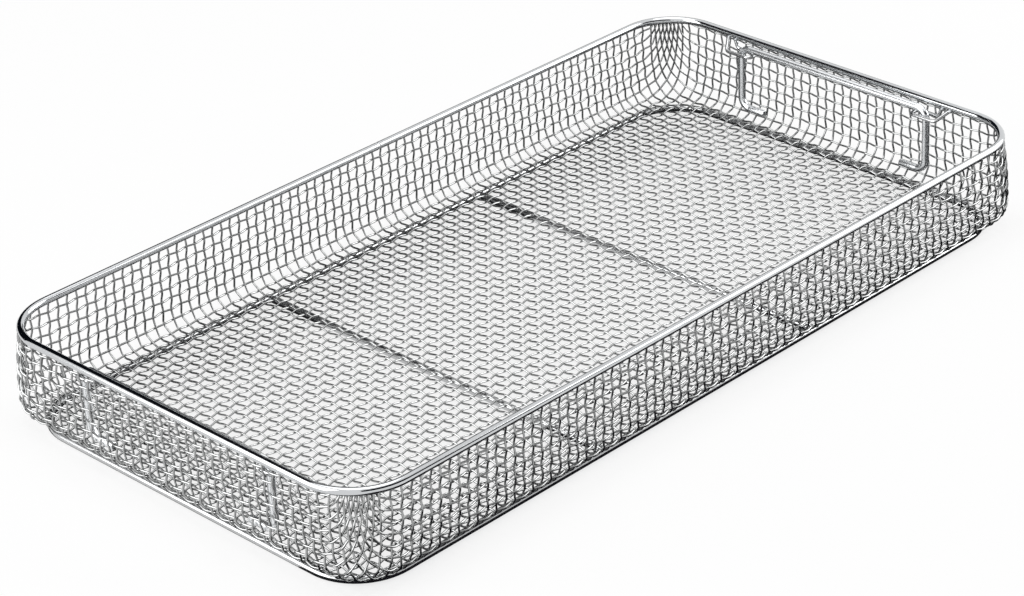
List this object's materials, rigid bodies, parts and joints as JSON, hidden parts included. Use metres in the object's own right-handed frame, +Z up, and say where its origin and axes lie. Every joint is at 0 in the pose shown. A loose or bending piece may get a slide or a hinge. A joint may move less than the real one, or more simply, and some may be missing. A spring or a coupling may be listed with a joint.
{
  "type": "sterilization wire basket",
  "caption": "Shallow oblong wire mesh tray for sterilizing instruments, with a rod rim, a rod base with cross bars, and a drop handle that slides up inside each end.",
  "frame": {"origin": "middle of the base, on the surface that the base ring stands on", "axes": "+Z up, +X along the tray towards its right end, +Y across it towards the back"},
  "size_m": [0.475, 0.25, 0.054],
  "materials": {
    "polished_rod": "polished stainless steel rod",
    "drawn_rod": "bright drawn stainless steel rod",
    "woven_wire": "electropolished woven stainless steel wire"
  },
  "bodies": {
    "tray": {"rim": "polished_rod", "base_ring": "drawn_rod", "cross_bar_left": "drawn_rod", "cross_bar_right": "drawn_rod", "mesh_floor": "woven_wire", "mesh_wall_back": "woven_wire", "mesh_wall_left": "woven_wire", "mesh_wall_front": "woven_wire", "mesh_wall_right": "woven_wire", "mesh_corner_back_right": "woven_wire", "mesh_corner_back_left": "woven_wire", "mesh_corner_front_left": "woven_wire", "mesh_corner_front_right": "woven_wire", "eye_right_front": "drawn_rod", "eye_right_back": "drawn_rod", "eye_left_back": "drawn_rod", "eye_left_front": "drawn_rod"},
    "handle_right": {"handle_right": "polished_rod"},
    "handle_left": {"handle_left": "polished_rod"}
  },
  "joints": [
    {"name": "handle_right_slide", "type": "slide", "parent": "tray", "child": "handle_right", "axis": [0, 0, 1], "range_m": [0, 0.0287]},
    {"name": "handle_left_slide", "type": "slide", "parent": "tray", "child": "handle_left", "axis": [0, 0, 1], "range_m": [0, 0.0287]}
  ]
}
